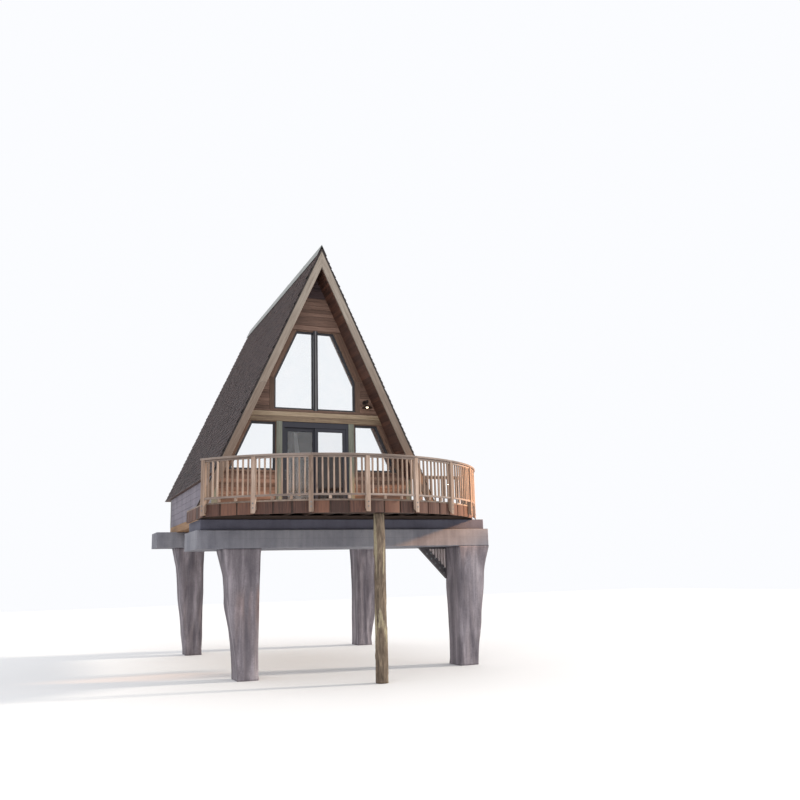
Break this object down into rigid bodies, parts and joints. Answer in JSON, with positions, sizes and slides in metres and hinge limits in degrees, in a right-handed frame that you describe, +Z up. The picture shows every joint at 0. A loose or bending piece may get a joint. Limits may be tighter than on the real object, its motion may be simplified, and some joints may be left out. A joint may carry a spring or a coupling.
{
  "type": "raised a-frame cabin",
  "caption": "Raised A-frame timber cabin with steep shingled roofs, a glazed gable, a sliding door, a loft, and a railed deck curving round the front on concrete piers and a log post.",
  "frame": {"origin": "bottom centre of the overall box, at ground level under the pier feet", "axes": "+Z up; -Y is the glazed front with the deck; +X is to the right seen from the front; the roof ridge runs along Y"},
  "size_m": [8.5416, 13.21, 12.2249],
  "materials": {
    "timber_pale": "weathered, unfinished",
    "timber_grey": "weathered boards",
    "timber_brown": "brown stained planks",
    "timber_dark": "dark stained timber",
    "log_wood": "peeled log with bark left in places",
    "shingle": "dark flat shingles",
    "ridge_metal": "grey sheet",
    "frame_metal": "dark powder coat",
    "glass": "clear glazing",
    "concrete": "rough cast concrete",
    "plinth_concrete": "dark smooth concrete",
    "lamp_glass": "lit bulb"
  },
  "bodies": {
    "cabin": {"log_post": "log_wood", "log_bearer": "timber_dark", "piers": "concrete", "knee_brace": "timber_dark", "front_slab": "concrete", "front_plinth": "plinth_concrete", "rear_slab": "concrete", "sole_plates": "timber_dark", "floor_beams": "timber_dark", "deck_joists": "timber_dark", "deck_fascia": "timber_dark", "deck_floor": "timber_grey", "rail_posts": "timber_pale", "rail_panels": "timber_pale", "rail_cap": "timber_pale", "cabin_floor": "timber_brown", "loft_floor": "timber_brown", "side_walls": "timber_brown", "roof_slabs": "timber_dark", "roof_covers": "shingle", "ridge_cap": "ridge_metal", "front_barges": "timber_grey", "rear_barges": "timber_grey", "front_apex": "timber_brown", "front_head": "timber_brown", "front_upper_walls": "timber_brown", "front_mid_beam": "timber_brown", "front_rakers": "timber_brown", "front_posts": "timber_grey", "sill_panels": "timber_brown", "upper_frame": "frame_metal", "side_frames": "frame_metal", "window_glass": "glass", "door_jambs": "frame_metal", "door_head_frame": "frame_metal", "door_sill": "ridge_metal", "rear_wall": "timber_brown", "rear_mid_beam": "timber_brown", "rear_gable": "timber_brown", "rear_frames": "frame_metal", "wall_lamp": "frame_metal", "lamp_bulb": "lamp_glass"},
    "door_left": {"door_leaf_left": "frame_metal", "door_glass_left": "glass"},
    "door_right": {"door_leaf_right": "frame_metal", "door_glass_right": "glass"}
  },
  "joints": [
    {"name": "door_left_slide", "type": "slide", "parent": "cabin", "child": "door_left", "axis": [1, 0, 0], "range_m": [0, 0.904]},
    {"name": "door_right_slide", "type": "slide", "parent": "cabin", "child": "door_right", "axis": [-1, 0, 0], "range_m": [0, 0.904]}
  ]
}
